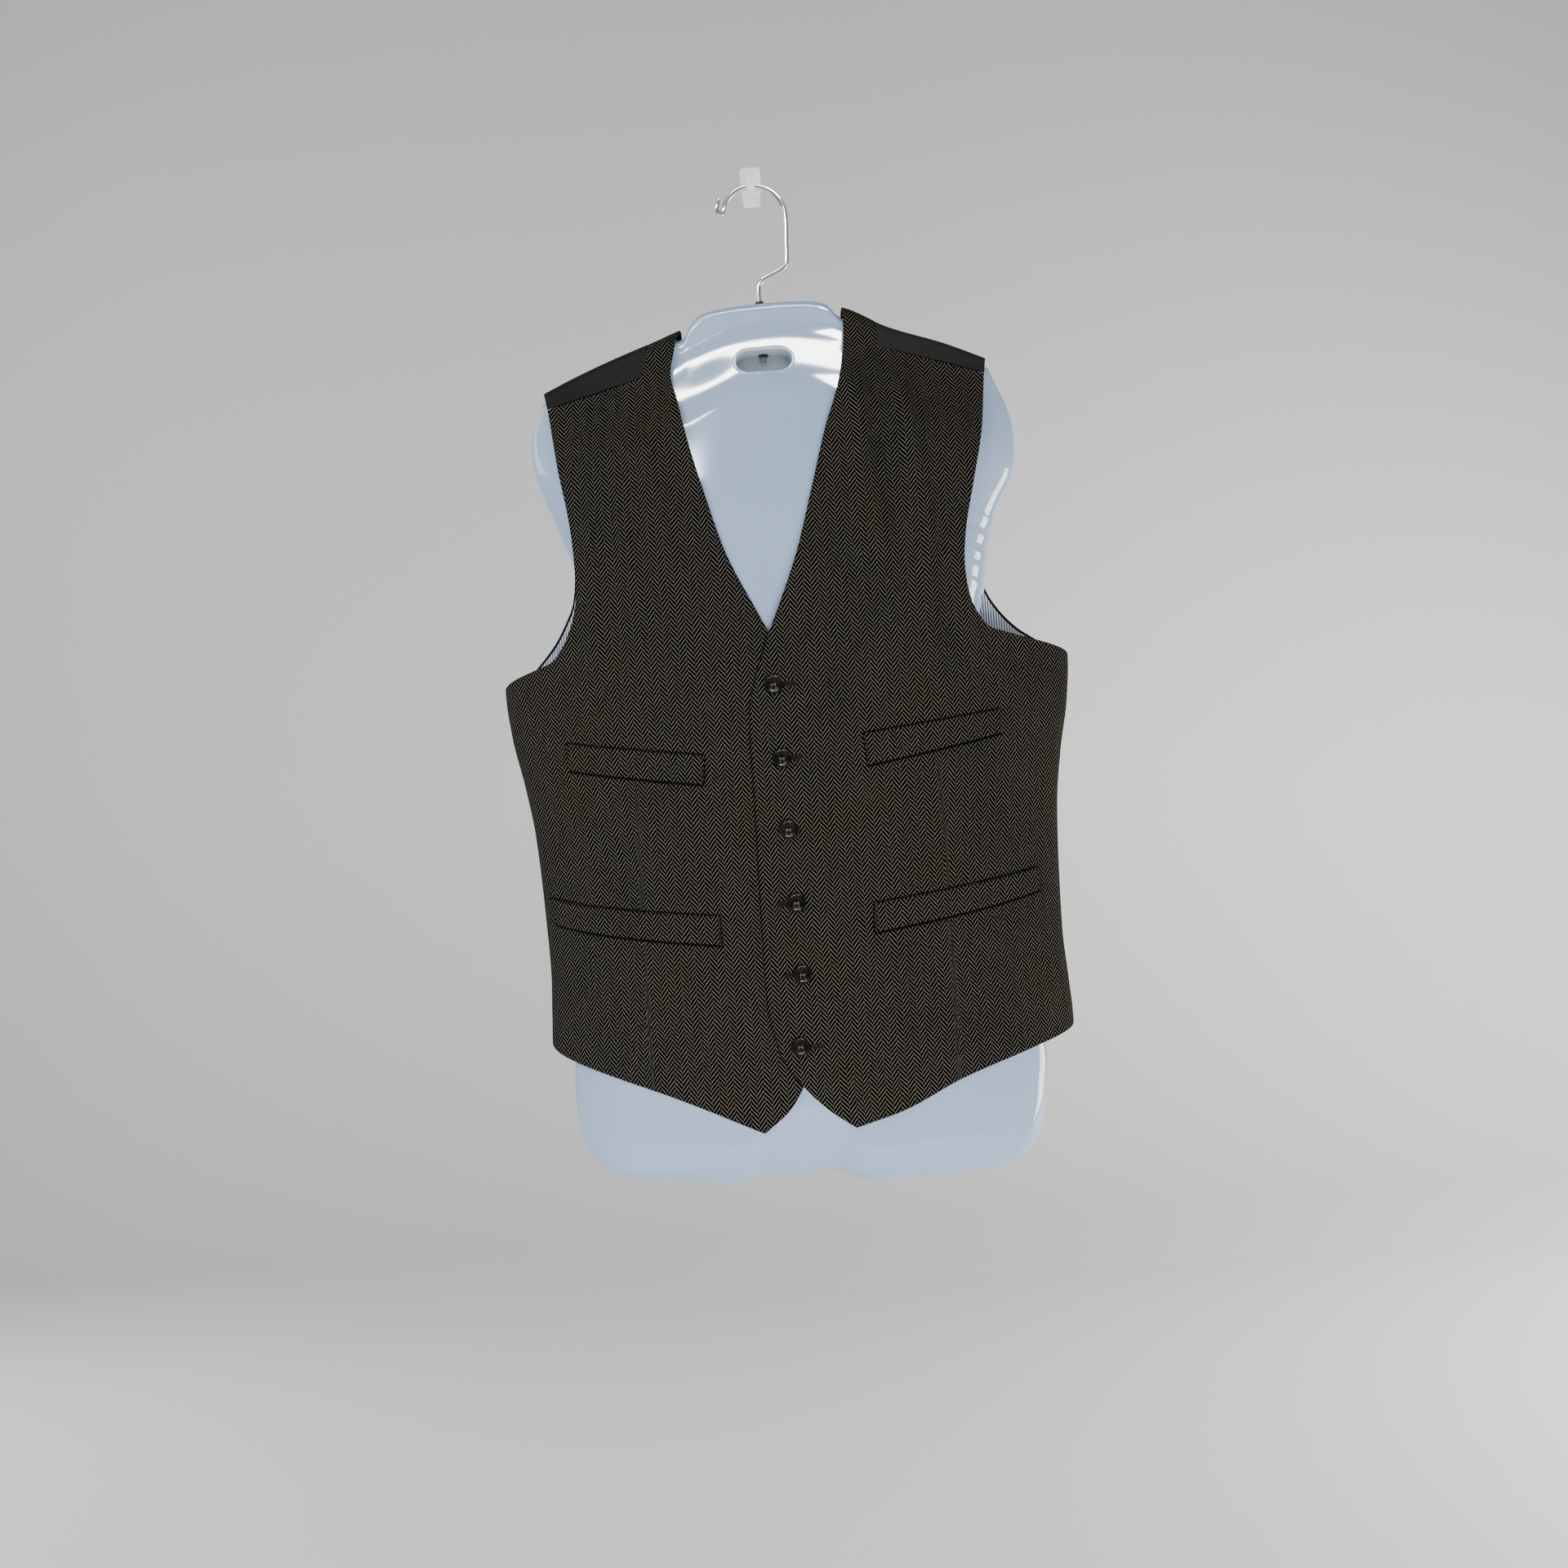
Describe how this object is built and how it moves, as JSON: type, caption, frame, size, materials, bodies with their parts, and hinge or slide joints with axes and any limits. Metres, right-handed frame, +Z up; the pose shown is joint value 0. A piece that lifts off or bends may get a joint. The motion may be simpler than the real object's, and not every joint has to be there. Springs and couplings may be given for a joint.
{
  "type": "suit waistcoat on a hanging torso form",
  "caption": "Buttoned herringbone tweed suit waistcoat hanging on a smooth limbless torso form from a wire hook and a small wall hook.",
  "frame": {"origin": "centre of the wall hook's back face, on the wall plane", "axes": "+Z up along the hanging waistcoat, +Y into the wall, the fronts face -Y, +X is the wearer's left"},
  "size_m": [0.474, 0.0826, 0.8559],
  "materials": {
    "tweed": "woollen herringbone, matt",
    "back_satin": "soft satin sheen",
    "striped_lining": "smooth striped",
    "horn_button": "polished, mottled",
    "form_plastic": "high gloss",
    "chrome_wire": "polished",
    "dark_steel": "dark, satin",
    "white_plastic": "satin"
  },
  "bodies": {
    "root": {"front_right": "tweed", "front_left": "tweed", "neck_band_right": "tweed", "neck_band_left": "tweed", "welt_upper_right": "tweed", "welt_lower_right": "tweed", "welt_upper_left": "tweed", "welt_lower_left": "tweed", "back_right": "back_satin", "back_left": "back_satin", "back_lining_right": "striped_lining", "back_lining_left": "striped_lining", "torso_form": "form_plastic", "hook_wire": "chrome_wire", "hook_nut": "dark_steel", "hook_collar": "dark_steel", "wall_hook": "white_plastic", "button_1": "horn_button", "button_2": "horn_button", "button_3": "horn_button", "button_4": "horn_button", "button_5": "horn_button", "button_6": "horn_button"}
  },
  "joints": []
}
